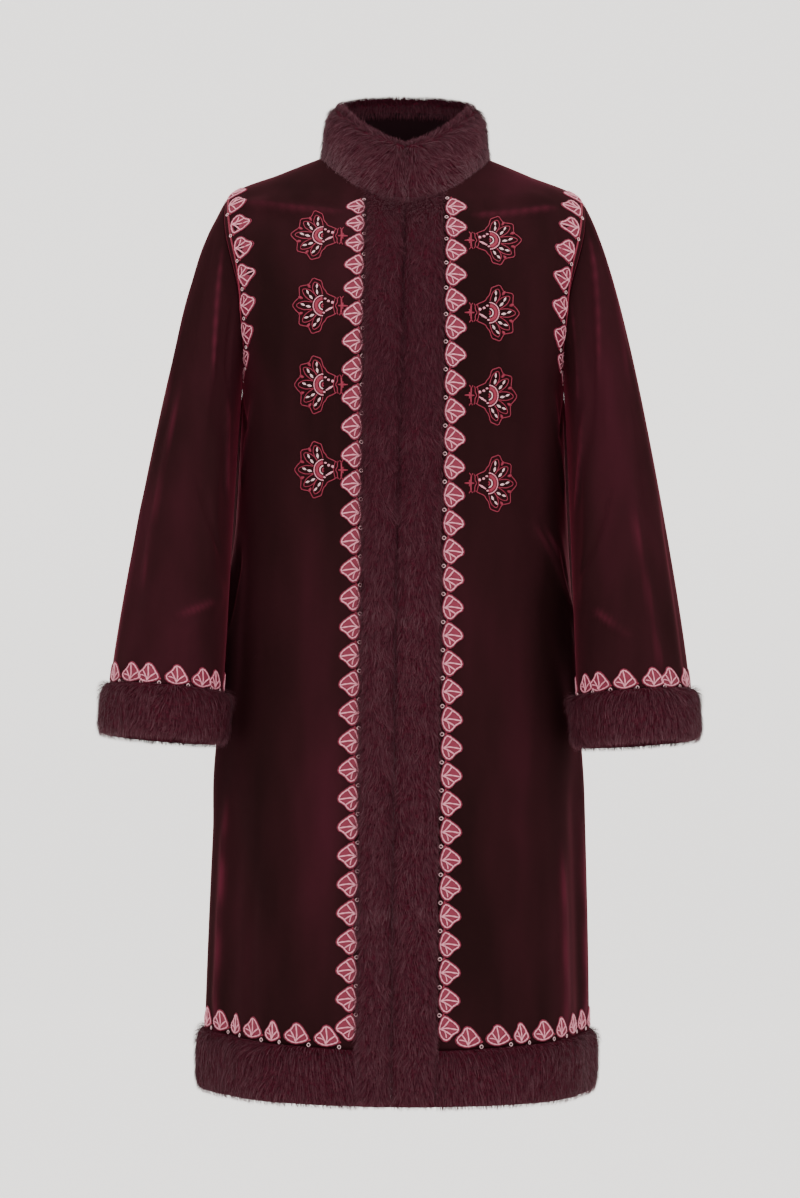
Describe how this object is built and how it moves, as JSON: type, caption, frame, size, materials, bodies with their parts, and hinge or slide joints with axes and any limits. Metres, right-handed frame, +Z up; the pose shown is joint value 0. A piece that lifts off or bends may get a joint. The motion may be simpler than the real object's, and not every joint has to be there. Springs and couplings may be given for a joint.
{
  "type": "fur trimmed embroidered velvet coat",
  "caption": "Long velvet coat standing filled out and empty, with fur collar, front bands, hem and cuffs, embroidered shell edging and chest palmettes.",
  "frame": {"origin": "midway between the two shoulder neck points, where the wearer's shoulders carry the coat", "axes": "+Z up along the coat, +Y towards its back, +X towards the wearer's left; the front faces -Y"},
  "size_m": [0.6936, 0.325, 1.1566],
  "materials": {
    "velvet": "soft cut-pile burgundy velvet with a dark sheen",
    "fur": "short dense burgundy fur"
  },
  "bodies": {
    "root": {"front_left": "velvet", "front_right": "velvet", "back": "velvet", "sleeve_left": "velvet", "sleeve_right": "velvet", "collar": "fur", "front_band_left": "fur", "front_band_right": "fur", "hem_band": "fur", "cuff_left": "fur", "cuff_right": "fur"}
  },
  "joints": []
}
